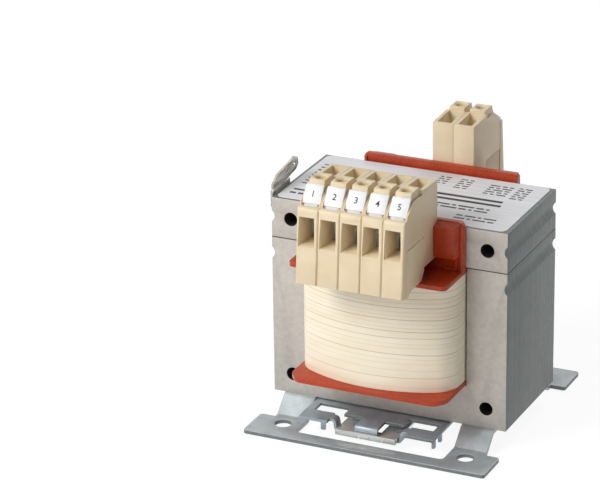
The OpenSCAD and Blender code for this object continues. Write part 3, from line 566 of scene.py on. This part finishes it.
class TRANSFORMER_OT_tape(bpy.types.Operator):
    """Winds the coil's outer tape in lapped turns"""

    bl_idname = "transformer.tape"
    bl_label = "Winding tape"
    bl_options = {"REGISTER", "UNDO"}

    def execute(self, context):
        sizes = context.scene.transformer_sizes
        lo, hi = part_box("outer_tape")
        obj = merged_copy("outer_tape", "tape_turns")
        edit_all(obj)
        # A lap is cut where its line fades in, at its edge and just above it
        for height, rise, plain in LAPS:
            tilted = Vector((-rise * MM / (hi.x - lo.x), 0, 1)).normalized()
            for offset in (-sizes.lap_line, 0, 0.03 * MM):
                bpy.ops.mesh.select_all(action="SELECT")
                bpy.ops.mesh.bisect(plane_co=(0, 0, lo.z + height * MM + offset), plane_no=tilted,
                                    threshold=CUT_GAP)
        bpy.ops.object.mode_set(mode="OBJECT")
        self.lap(obj, lo, hi, sizes.tape_step)
        # Edit mode works the faces' directions out anew, which the shading needs
        bpy.ops.object.mode_set(mode="EDIT")
        bpy.ops.object.mode_set(mode="OBJECT")
        shade(obj, 30)
        hand_over(obj, "outer_tape")
        return {"FINISHED"}

    def lap(self, obj, lo, hi, step):
        """Draws each turn in towards its upper edge, under the next, and marks the line there,
        partly painted shadow.
        """
        mesh = obj.data
        lap_line_and_shadow = mesh.attributes.new("lap", "FLOAT", "POINT")
        depths = [plain for height, rise, plain in LAPS] + [0.0]
        moves = []
        for vertex in mesh.vertices:
            across = vertex.co.x / (hi.x - lo.x)
            z = (vertex.co.z - lo.z) / MM
            lines = [0.0] + [height + rise * across for height, rise, plain in LAPS]
            lines.append((hi.z - lo.z) / MM + 0.1)
            turn = sum(z > line + 0.01 for line in lines[1:])
            share = (z - lines[turn]) / (lines[turn + 1] - lines[turn])
            moves.append(step * depths[turn] * min(max(share, 0), 1))
            # Only the points on a lap's edge are marked; their line is partly painted shadow under
            # the lap
            lap_line_and_shadow.data[vertex.index].value = depths[turn] * float(lines[turn + 1] - z < 0.1)
        for vertex, move in zip(mesh.vertices, moves):
            out = Vector((vertex.normal.x, vertex.normal.y, 0))
            if out.length > 0.2 and out.dot(vertex.co) > 0:
                vertex.co -= out.normalized() * move


class TRANSFORMER_OT_terminals(bpy.types.Operator):
    """Rounds the moulded edges of the terminal housings and the marker tags"""

    bl_idname = "transformer.terminals"
    bl_label = "Terminal housings"
    bl_options = {"REGISTER", "UNDO"}

    def execute(self, context):
        edge = context.scene.transformer_sizes.mould_edge
        for node in named("front_housing_", "rear_housing_"):
            soften(node, node.replace("housing", "moulding"), edge)
        for node in named("marker_tag_"):
            soften(node, node.replace("marker_tag", "tag"), edge * 0.8)
        return {"FINISHED"}


class TRANSFORMER_OT_numbers(bpy.types.Operator):
    """Prints the terminals' numbers on the marker tags"""

    bl_idname = "transformer.numbers"
    bl_label = "Terminal numbers"
    bl_options = {"REGISTER", "UNDO"}

    def execute(self, context):
        sizes = context.scene.transformer_sizes
        for index, node in enumerate(named("marker_tag_"), 1):
            bpy.ops.object.select_all(action="DESELECT")
            bpy.ops.object.text_add()
            digit = bpy.context.object
            digit.name = f"terminal_number_{index}"
            digit.data.body = str(index)
            digit.data.size = sizes.digit_size
            digit.data.align_x = "CENTER"
            digit.data.align_y = "CENTER"
            digit.data.extrude = INK_THICKNESS / 2
            digit.data.offset = sizes.digit_weight
            digit.matrix_world = self.printed_place(node)
            select_only(digit)
            bpy.ops.object.convert(target="MESH")
            digit = bpy.context.object
            apply_place(digit)
            edit_all(digit)
            bpy.ops.mesh.remove_doubles(threshold=0.001 * MM)
            bpy.ops.mesh.normals_make_consistent(inside=False)
            bpy.ops.object.mode_set(mode="OBJECT")
            hand_over(digit, node, finish="label_print", stands_for=False)
        return {"FINISHED"}

    def printed_place(self, node):
        """Place on a tag's sloped face: X across the tag, Y up the slope, Z out of it."""
        leaning = [p for p in NODES[node].data.polygons if p.normal.y < -0.3 and p.normal.z > 0.3]
        out = max(leaning, key=lambda p: p.area).normal.copy()
        flat = [p for p in leaning if p.normal.dot(out) > 0.9999]
        spot = sum((p.center * p.area for p in flat), Vector()) / sum(p.area for p in flat)
        across = Vector((1, 0, 0))
        turn = Matrix((across, out.cross(across), out)).transposed().to_4x4()
        return Matrix.Translation(spot + out * NUMBER_LIFT) @ turn


# The label's two long bars: left, right, middle in Y and width, in mm
LABEL_BARS = ((-6, 30.5, 2.6, 1.6), (-6, 31.2, -0.9, 1.6))
# Its rows of dashes: left, first row, rows, row pitch, dash lengths and dash height, in mm
LABEL_BLOCKS = (
    (-38, 12.0, 8, -2.6, (3.2, 1.6, 4.0, 2.2), 0.9),
    (-38, -12.5, 2, -3.2, (5.0, 2.2, 3.0), 1.3),
    (2.5, 17.2, 4, -1.9, (1.2, 2.0), 0.7),
    (10.0, 17.2, 5, -1.9, (2.4, 1.6), 0.7),
    (21.0, 16.0, 5, -1.9, (3.4, 1.8, 1.4), 0.8),
    (31.0, 16.6, 6, -1.9, (1.4, 2.4), 0.8),
    (10.5, -5.4, 2, -2.3, (4.6, 1.4, 5.6, 2.6, 1.2), 1.0),
    (20.5, -13.0, 2, -2.4, (2.2, 3.8, 1.2, 4.4), 0.9),
)


class TRANSFORMER_OT_label(bpy.types.Operator):
    """Prints the label's two bars and rows of dashes"""

    bl_idname = "transformer.label"
    bl_label = "Label"
    bl_options = {"REGISTER", "UNDO"}

    def execute(self, context):
        soften("rating_label", "label_sheet", 0.06 * MM, segments=1)
        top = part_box("rating_label")[1].z
        stamps = []
        for x0, x1, y, width in self.marks():
            bpy.ops.mesh.primitive_plane_add(size=1, location=((x0 + x1) / 2 * MM, y * MM, top))
            bpy.context.object.scale = ((x1 - x0) * MM, width * MM, 1)
            stamps.append(bpy.context.object)
        select_only(stamps[0])
        for stamp in stamps:
            stamp.select_set(True)
        bpy.ops.object.join()
        marks = stamps[0]
        marks.name = "label_print_marks"
        apply_place(marks)
        edit_all(marks)
        bpy.ops.mesh.bevel(offset=MARK_CORNER, segments=2, affect="VERTICES")
        bpy.ops.mesh.extrude_region_move(TRANSFORM_OT_translate={"value": (0, 0, INK_THICKNESS)})
        bpy.ops.object.mode_set(mode="OBJECT")
        hand_over(marks, "rating_label", finish="label_print", stands_for=False)
        return {"FINISHED"}

    def marks(self):
        """Every mark of the print as left, right, middle in Y and width, in mm."""
        yield from LABEL_BARS
        for left, first, rows, pitch, lengths, height in LABEL_BLOCKS:
            for row in range(rows):
                x = left
                for k in range(len(lengths)):
                    length = lengths[(k + row) % len(lengths)]
                    yield x, x + length, first + row * pitch, height
                    x += length + DASH_GAP_MM


class TRANSFORMER_OT_clamps(bpy.types.Operator):
    """Cuts the clamp screws' threads, and finishes cages, bars and solder"""

    bl_idname = "transformer.clamps"
    bl_label = "Clamps"
    bl_options = {"REGISTER", "UNDO"}

    def execute(self, context):
        solder = self.solder()
        shank = self.shank(context.scene.transformer_sizes.thread_pitch)
        for node in named("front_clamp_cage_", "rear_clamp_cage_"):
            soften(node, node.replace("clamp_cage", "cage"), 0.12 * MM)
        for node in named("front_contact_bar_", "rear_contact_bar_"):
            soften(node, node.replace("contact_bar", "bar"), 0.1 * MM)
            lo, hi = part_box(node)
            tail = hi.y - HALF_TAIL if node.startswith("front") else lo.y + HALF_TAIL
            blob = copy_at(solder, node.replace("contact_bar", "solder"),
                           ((lo.x + hi.x) / 2, tail, hi.z))
            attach(blob, NODES[node]["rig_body"])
        for node in named("front_clamp_screw_", "rear_clamp_screw_"):
            self.screw(node, shank)
        for pattern in (solder, shank):
            bpy.data.objects.remove(pattern)
        return {"FINISHED"}

    def screw(self, node, shank):
        """Screw with a rolled thread below its slotted head, on a copy of the CAD screw."""
        lo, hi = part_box(node)
        foot = Vector(((lo.x + hi.x) / 2, (lo.y + hi.y) / 2, lo.z))
        head = merged_copy(node, node.replace("clamp_screw", "screw"))
        cut(head, foot + Vector((0, 0, THREAD_LENGTH)), clear_inner=True)
        thread = copy_at(shank, "thread", foot)
        select_only(head)
        thread.select_set(True)
        bpy.ops.object.join()
        shade(head, 30)
        hand_over(head, node)

    def shank(self, pitch):
        """Threaded shank that stands on the origin: one turn's outline wound up and trimmed."""
        shank = self.outline(pitch)
        apply_modifier(shank, "SCREW", axis="Z", angle=2 * math.pi, screw_offset=pitch,
                       iterations=int(THREAD_LENGTH / pitch) + 2, steps=20, render_steps=20,
                       use_merge_vertices=False)
        edit_all(shank)
        bpy.ops.mesh.remove_doubles(threshold=2 * MERGE_GAP)
        bpy.ops.transform.translate(value=(0, 0, -0.8 * pitch))
        cut(shank, (0, 0, 0.02 * MM), clear_inner=True)
        cut(shank, (0, 0, THREAD_LENGTH + 0.1 * MM), clear_outer=True)
        edit_all(shank)
        bpy.ops.mesh.normals_make_consistent(inside=False)
        bpy.ops.object.mode_set(mode="OBJECT")
        return shank

    def outline(self, pitch):
        """Half section of one turn of thread: a flat crest between two flanks, open at the root."""
        root = SCREW_RADIUS - THREAD_DEPTH * pitch
        bpy.ops.object.select_all(action="DESELECT")
        bpy.ops.mesh.primitive_plane_add(size=pitch, rotation=(math.pi / 2, 0, 0))
        section = bpy.context.object
        apply_place(section)
        edit_all(section)
        bpy.ops.mesh.delete(type="ONLY_FACE")
        bpy.ops.mesh.select_all(action="DESELECT")
        bpy.ops.object.mode_set(mode="OBJECT")
        # The two right corners become the crest, the two left ones the roots above and below
        for vertex in section.data.vertices:
            right = vertex.co.x > 0
            up = 1 if vertex.co.z > 0 else -1
            vertex.co.x = SCREW_RADIUS if right else root
            vertex.co.z = up * pitch * (HALF_CREST if right else 0.5)
        for edge in section.data.edges:
            edge.select = all(abs(section.data.vertices[i].co.x - root) < CUT_GAP
                              for i in edge.vertices)
        bpy.ops.object.mode_set(mode="EDIT")
        bpy.ops.mesh.select_mode(type="EDGE")
        bpy.ops.mesh.delete(type="EDGE")
        bpy.ops.mesh.select_mode(type="VERT")
        bpy.ops.object.mode_set(mode="OBJECT")
        return section

    def solder(self):
        """Fillet that joins a winding's lead to a bar's upright tail; the tail ends at z = 0."""
        bpy.ops.object.select_all(action="DESELECT")
        bpy.ops.mesh.primitive_uv_sphere_add(segments=16, ring_count=10, radius=1.0 * MM,
                                             location=(0, 0, -SOLDER_MIDDLE))
        blob = bpy.context.object
        blob.scale = (0.95, 0.75, 1.7)
        apply_place(blob)
        cut(blob, (0, 0, -SOLDER_FOOT), normal=(0.35, 0, 1), gap=0.1 * MM, clear_inner=True)
        shade(blob, 50)
        paint(blob, "solder")
        return blob


class TRANSFORMER_OT_feet(bpy.types.Operator):
    """Rounds the punched edges of the foot bracket"""

    bl_idname = "transformer.feet"
    bl_label = "Foot bracket"
    bl_options = {"REGISTER", "UNDO"}

    def execute(self, context):
        edge = context.scene.transformer_sizes.punch_edge
        bare_edges(soften("foot_bracket", "bent_foot_bracket", edge), 0, 1.5 * MM)
        return {"FINISHED"}


class TRANSFORMER_OT_clip(bpy.types.Operator):
    """Finishes the rail clip and winds the latch's spring"""

    bl_idname = "transformer.clip"
    bl_label = "Rail clip"
    bl_options = {"REGISTER", "UNDO"}

    def execute(self, context):
        sizes = context.scene.transformer_sizes
        plate = soften("rail_clip_plate", "clip_plate", sizes.punch_edge * 0.8)
        bare_edges(plate, 5.4 * MM, 7 * MM)
        soften("rail_latch", "latch_slide", sizes.punch_edge * 0.7)
        self.spring(sizes.spring_wire, sizes.spring_turns)
        return {"FINISHED"}

    def spring(self, wire, turns):
        """Coil spring wound from a round wire along Y, that the latch presses together."""
        lo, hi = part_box("latch_spring")
        bpy.ops.object.select_all(action="DESELECT")
        bpy.ops.mesh.primitive_circle_add(vertices=10, radius=wire / 2, fill_type="NOTHING",
                                          location=((hi.x - lo.x - wire) / 2, 0, 0))
        coil = bpy.context.object
        coil.name = "latch_spring_wire"
        apply_place(coil)
        apply_modifier(coil, "SCREW", axis="Y", angle=2 * math.pi, iterations=turns, steps=24,
                       render_steps=24, screw_offset=(hi.y - lo.y - wire) / turns)
        edit_all(coil)
        bpy.ops.mesh.fill_holes(sides=12)
        bpy.ops.mesh.normals_make_consistent(inside=False)
        bpy.ops.transform.translate(value=((lo.x + hi.x) / 2, lo.y + wire / 2, (lo.z + hi.z) / 2))
        bpy.ops.object.mode_set(mode="OBJECT")
        shade(coil, 60)
        hand_over(coil, "latch_spring")
        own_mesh(coil)


class TRANSFORMER_OT_earth_tab(bpy.types.Operator):
    """Rounds the stamped edges of the earth tab"""

    bl_idname = "transformer.earth_tab"
    bl_label = "Earth tab"
    bl_options = {"REGISTER", "UNDO"}

    def execute(self, context):
        soften("earth_tab", "earth_blade", context.scene.transformer_sizes.punch_edge * 0.6)
        return {"FINISHED"}


class TRANSFORMER_OT_stage(bpy.types.Operator):
    """Sets the floor, the lamps and the camera"""

    bl_idname = "transformer.stage"
    bl_label = "Stage"
    bl_options = {"REGISTER", "UNDO"}

    def execute(self, context):
        studio = context.scene.transformer_studio
        self.floor()
        self.backdrop()
        self.lamps(studio.key_power)
        self.camera(studio)
        context.scene.view_settings.view_transform = "Standard"
        return {"FINISHED"}

    def seen(self, tree):
        """1 where the camera, metal or glass looks, 0 for light that falls on the object."""
        eye, glossy, clear = (add(tree, "LightPath", out=f"Is {kind} Ray")
                              for kind in ("Camera", "Glossy", "Transmission"))
        either = add(tree, "Math", {0: eye, 1: glossy}, operation="MAXIMUM")
        return add(tree, "Math", {0: either, 1: clear}, operation="MAXIMUM")

    def floor(self):
        """White paper that glows where it is looked at, and keeps the object's shadow in part."""
        bpy.ops.object.select_all(action="DESELECT")
        # A little below the feet, so that they never share a plane
        bpy.ops.mesh.primitive_grid_add(x_subdivisions=2, y_subdivisions=2, size=6,
                                        location=(0, 0, -0.2 * MM))
        ground = bpy.context.object
        ground.name = "studio_floor"
        made, tree, shader, _ = new_finish("white studio paper", Roughness=0.9,
                                           Base_Color=linear("#f4f4f4"))
        glow = add(tree, "Emission", {"Color": (1, 1, 1, 1), "Strength": PAPER_GLOW})
        share = add(tree, "Math", {0: self.seen(tree), 1: PAPER_SHARE}, operation="MULTIPLY")
        mix = add(tree, "MixShader", {0: share, 1: shader.outputs[0], 2: glow})
        plug(tree.nodes["Material Output"], {"Surface": mix})
        ground.data.materials.append(made)

    def backdrop(self):
        """World that is white where it is looked at, and a weak fill elsewhere."""
        world = bpy.data.worlds.new("studio")
        world.use_nodes = True
        tree = world.node_tree
        strength = add(tree, "MapRange", {0: self.seen(tree), 1: 0, 2: 1, 3: SOFT_FILL, 4: 1})
        plug(tree.nodes["Background"], {"Color": (1, 1, 1, 1), "Strength": strength})
        bpy.context.scene.world = world

    def lamps(self, key_power):
        """Square lamps round the object, by azimuth, height angle, distance, size and power."""
        for name, azimuth, height, far, size, power in (
            ("key lamp", -35, 38, 1.0, 0.5, key_power),
            ("front fill lamp", -4, 16, 1.3, 0.7, key_power * 0.22),
            ("edge lamp", 68, 20, 1.3, 0.3, key_power * 0.012),
            ("back lamp", 165, 50, 1.2, 0.6, key_power * 0.45),
        ):
            way = self.way(math.radians(azimuth), math.radians(height))
            bpy.ops.object.light_add(type="AREA", location=Vector((0, 0, 45 * MM)) + way * far)
            lamp = bpy.context.object
            lamp.name = name
            lamp.data.size = size
            lamp.data.energy = power
            lamp.rotation_euler = way.to_track_quat("Z", "Y").to_euler()

    def way(self, azimuth, height):
        """Direction from the object, turned from its front by azimuth and raised by height."""
        return Vector((math.sin(azimuth) * math.cos(height), -math.cos(azimuth) * math.cos(height),
                       math.sin(height)))

    def camera(self, studio):
        """Camera at the photograph's angle, aimed so that the object lies where it does there."""
        back = self.way(studio.azimuth, studio.elevation)
        aim = Vector((0, 0, studio.aim_height))
        bpy.ops.object.camera_add(location=aim + back * studio.distance)
        camera = bpy.context.object
        camera.data.sensor_width = SENSOR_WIDTH
        camera.data.lens = studio.lens
        pixels = studio.lens / SENSOR_WIDTH * PHOTO_SIZE[0]
        turn, tilt = (math.atan((spot - side / 2) / pixels)
                      for spot, side in zip(PHOTO_MIDDLE, PHOTO_SIZE))
        aside = Quaternion((0, 1, 0), turn) @ Quaternion((1, 0, 0), tilt)
        camera.rotation_mode = "QUATERNION"
        camera.rotation_quaternion = (-back).to_track_quat("-Z", "Y") @ aside
        bpy.context.scene.camera = camera


LENGTH = {"unit": "LENGTH", "precision": 5}
COLOUR = {"subtype": "COLOR", "min": 0, "max": 1}


class TransformerSizes(bpy.types.PropertyGroup):
    """Fine sizes that the CAD model leaves to the dressing"""

    sheet_edge: bpy.props.FloatProperty(
        name="Sheet edge", description="Rounding of the punched sheets",
        default=0.2 * MM, min=0.02 * MM, max=0.3 * MM, **LENGTH)
    mould_edge: bpy.props.FloatProperty(
        name="Mould edge", description="Rounding of the terminals' moulded edges",
        default=0.16 * MM, min=0.02 * MM, max=0.4 * MM, **LENGTH)
    bobbin_edge: bpy.props.FloatProperty(
        name="Bobbin edge", description="Rounding of the bobbin's moulded edges",
        default=0.448 * MM, min=0.05 * MM, max=0.7 * MM, **LENGTH)
    punch_edge: bpy.props.FloatProperty(
        name="Punch edge", description="Rounding of punched metal edges",
        default=0.22 * MM, min=0.02 * MM, max=0.5 * MM, **LENGTH)
    tape_step: bpy.props.FloatProperty(
        name="Tape step", description="Height of one plain lap of tape",
        default=0.1 * MM, min=0.02 * MM, max=0.4 * MM, **LENGTH)
    lap_line: bpy.props.FloatProperty(
        name="Lap line", description="Width of the darker line along a lap",
        default=0.32 * MM, min=0.1 * MM, max=1.5 * MM, **LENGTH)
    digit_size: bpy.props.FloatProperty(
        name="Digit size", description="Size of the terminals' numbers",
        default=2.9 * MM, min=1 * MM, max=5 * MM, **LENGTH)
    digit_weight: bpy.props.FloatProperty(
        name="Digit weight", description="Thickening of the numbers",
        default=0.04 * MM, min=0, max=0.2 * MM, **LENGTH)
    thread_pitch: bpy.props.FloatProperty(
        name="Thread pitch", description="Pitch of the clamp screws",
        default=0.5 * MM, min=0.3 * MM, max=1 * MM, **LENGTH)
    spring_wire: bpy.props.FloatProperty(
        name="Spring wire", description="Diameter of the spring's wire",
        default=0.5 * MM, min=0.2 * MM, max=1 * MM, **LENGTH)
    spring_turns: bpy.props.IntProperty(
        name="Spring turns", description="Turns of the latch's spring", default=6, min=2, max=12)


class TransformerColours(bpy.types.PropertyGroup):
    """Colours of the finishes that show"""

    core: bpy.props.FloatVectorProperty(
        name="Core faces", description="Varnished faces of the lamination stacks",
        default=linear("#c3beb6")[:3], **COLOUR)
    # Partly the cut edges' own grey, partly painted shade on the core's sides
    core_edge: bpy.props.FloatVectorProperty(
        name="Core edges", description="Cut edges of the sheets round the stacks",
        default=linear("#7c8180")[:3], **COLOUR)
    bobbin: bpy.props.FloatVectorProperty(
        name="Bobbin", description="Red-brown moulding that carries the coil",
        default=linear("#bd4420")[:3], **COLOUR)
    terminal: bpy.props.FloatVectorProperty(
        name="Terminals", description="Beige moulding of the clamp housings",
        default=linear("#e9d7b7")[:3], **COLOUR)
    marker: bpy.props.FloatVectorProperty(
        name="Marker tags", description="White tags that carry the numbers",
        default=linear("#f3f4f5")[:3], **COLOUR)
    tape: bpy.props.FloatVectorProperty(
        name="Tape", description="Cream film round the coil",
        default=linear("#f8efdb")[:3], **COLOUR)
    # Partly the lap edge's own line, partly painted shadow under it
    tape_line: bpy.props.FloatVectorProperty(
        name="Tape lines", description="Line where one turn of tape laps the next",
        default=linear("#a8946c")[:3], **COLOUR)
    label: bpy.props.FloatVectorProperty(
        name="Label", description="White film of the label",
        default=linear("#eeeef1")[:3], **COLOUR)
    bracket: bpy.props.FloatVectorProperty(
        name="Foot bracket", description="Galvanised sheet of the foot bracket",
        default=linear("#bec6c8")[:3], **COLOUR)
    bare_edge: bpy.props.FloatVectorProperty(
        name="Bare edges", description="Punched edges of bracket and clip",
        default=linear("#7f8786")[:3], **COLOUR)
    clip: bpy.props.FloatVectorProperty(
        name="Rail clip", description="Zinc-plated sheet of the rail clip",
        default=linear("#abb8be")[:3], **COLOUR)
    latch: bpy.props.FloatVectorProperty(
        name="Latch", description="Bright spring steel of the latch",
        default=linear("#d4d4d0")[:3], **COLOUR)
    earth_tab: bpy.props.FloatVectorProperty(
        name="Earth tab", description="Tinned brass of the earth tab",
        default=linear("#dedcd4")[:3], **COLOUR)


class TransformerStudio(bpy.types.PropertyGroup):
    """Light and camera"""

    key_power: bpy.props.FloatProperty(
        name="Key power", description="Power of the key lamp, which the others follow",
        default=7.0, min=1, max=200, unit="POWER")
    azimuth: bpy.props.FloatProperty(
        name="Azimuth", description="Camera's turn round the object from its front",
        default=math.radians(23.2), min=-math.pi, max=math.pi, subtype="ANGLE", unit="ROTATION")
    elevation: bpy.props.FloatProperty(
        name="Elevation", description="Camera's height angle",
        default=math.radians(22.85), min=-0.2, max=1.5, subtype="ANGLE", unit="ROTATION")
    distance: bpy.props.FloatProperty(
        name="Distance", description="Camera's distance from the point that it is aimed at",
        default=1.072, min=0.3, max=5, unit="LENGTH")
    aim_height: bpy.props.FloatProperty(
        name="Aim height", description="Height of the point that the camera is aimed at",
        default=45 * MM, min=0, max=100 * MM, **LENGTH)
    lens: bpy.props.FloatProperty(
        name="Lens", description="Camera's focal length in mm",
        default=192, min=20, max=400, unit="CAMERA")


OPERATORS = (
    TRANSFORMER_OT_finishes, TRANSFORMER_OT_core, TRANSFORMER_OT_bobbin, TRANSFORMER_OT_tape,
    TRANSFORMER_OT_terminals, TRANSFORMER_OT_numbers, TRANSFORMER_OT_label,
    TRANSFORMER_OT_clamps, TRANSFORMER_OT_feet, TRANSFORMER_OT_clip, TRANSFORMER_OT_earth_tab,
    TRANSFORMER_OT_stage,
)
SETTINGS = {
    "transformer_sizes": TransformerSizes,
    "transformer_colours": TransformerColours,
    "transformer_studio": TransformerStudio,
}


class TRANSFORMER_PT_panel(bpy.types.Panel):
    """Lists the settings and the steps"""

    bl_label = "Transformer"
    bl_idname = "TRANSFORMER_PT_panel"
    bl_space_type = "VIEW_3D"
    bl_region_type = "UI"
    bl_category = "Transformer"

    def draw(self, context):
        for group, kind in SETTINGS.items():
            box = self.layout.box()
            for name in kind.__annotations__:
                box.prop(getattr(context.scene, group), name)
        for operator in OPERATORS:
            self.layout.operator(operator.bl_idname)


def register():
    for kind in (*SETTINGS.values(), *OPERATORS, TRANSFORMER_PT_panel):
        bpy.utils.register_class(kind)
    for group, kind in SETTINGS.items():
        setattr(bpy.types.Scene, group, bpy.props.PointerProperty(type=kind))


def unregister():
    for group in SETTINGS:
        delattr(bpy.types.Scene, group)
    for kind in reversed((*SETTINGS.values(), *OPERATORS, TRANSFORMER_PT_panel)):
        bpy.utils.unregister_class(kind)


def main():
    """Runs every step in order."""
    register()
    bpy.ops.transformer.finishes()
    bpy.ops.transformer.core()
    bpy.ops.transformer.bobbin()
    bpy.ops.transformer.tape()
    bpy.ops.transformer.terminals()
    bpy.ops.transformer.numbers()
    bpy.ops.transformer.label()
    bpy.ops.transformer.clamps()
    bpy.ops.transformer.feet()
    bpy.ops.transformer.clip()
    bpy.ops.transformer.earth_tab()
    bpy.ops.transformer.stage()


if __name__ == "__main__":
    main()
